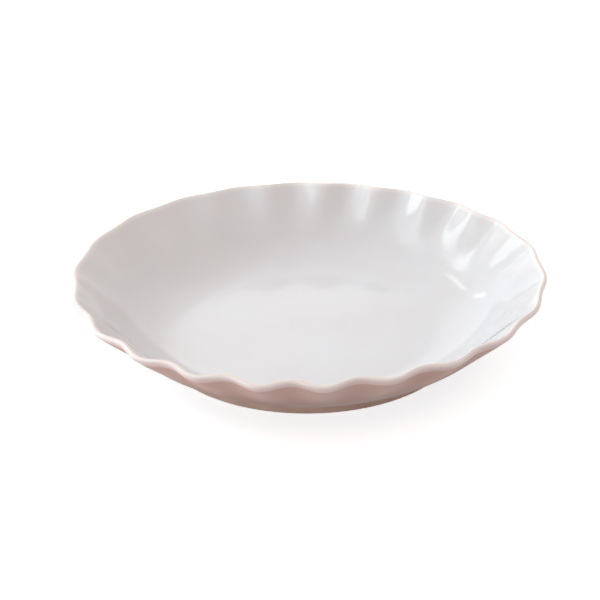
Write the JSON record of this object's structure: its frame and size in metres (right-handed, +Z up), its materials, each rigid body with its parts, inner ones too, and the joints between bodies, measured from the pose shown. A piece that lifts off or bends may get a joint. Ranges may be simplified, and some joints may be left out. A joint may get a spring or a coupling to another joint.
{
  "type": "charger plate",
  "caption": "Round fluted charger plate with a wavy lip, a curved wall, a flat white-glazed well and a blush-glazed outside, standing on a bare clay foot ring.",
  "frame": {"origin": "on the table, under the middle of the plate", "axes": "+Z up along the axis the plate was turned about; +Y away from the side nearest in the picture; +X to the right in the picture"},
  "size_m": [0.2988, 0.302, 0.051],
  "materials": {
    "clay": "bare fired stoneware, matt and slightly grainy",
    "white_glaze": "glossy white glaze",
    "lip_glaze": "glossy pale glaze that runs from white to blush over the edge",
    "blush_glaze": "satin dusty-blush glaze"
  },
  "bodies": {
    "root": {"clay_body": "clay", "foot_ring": "clay", "inside_glaze": "white_glaze", "lip_glaze": "lip_glaze", "outside_glaze": "blush_glaze", "base_glaze": "blush_glaze"}
  },
  "joints": []
}
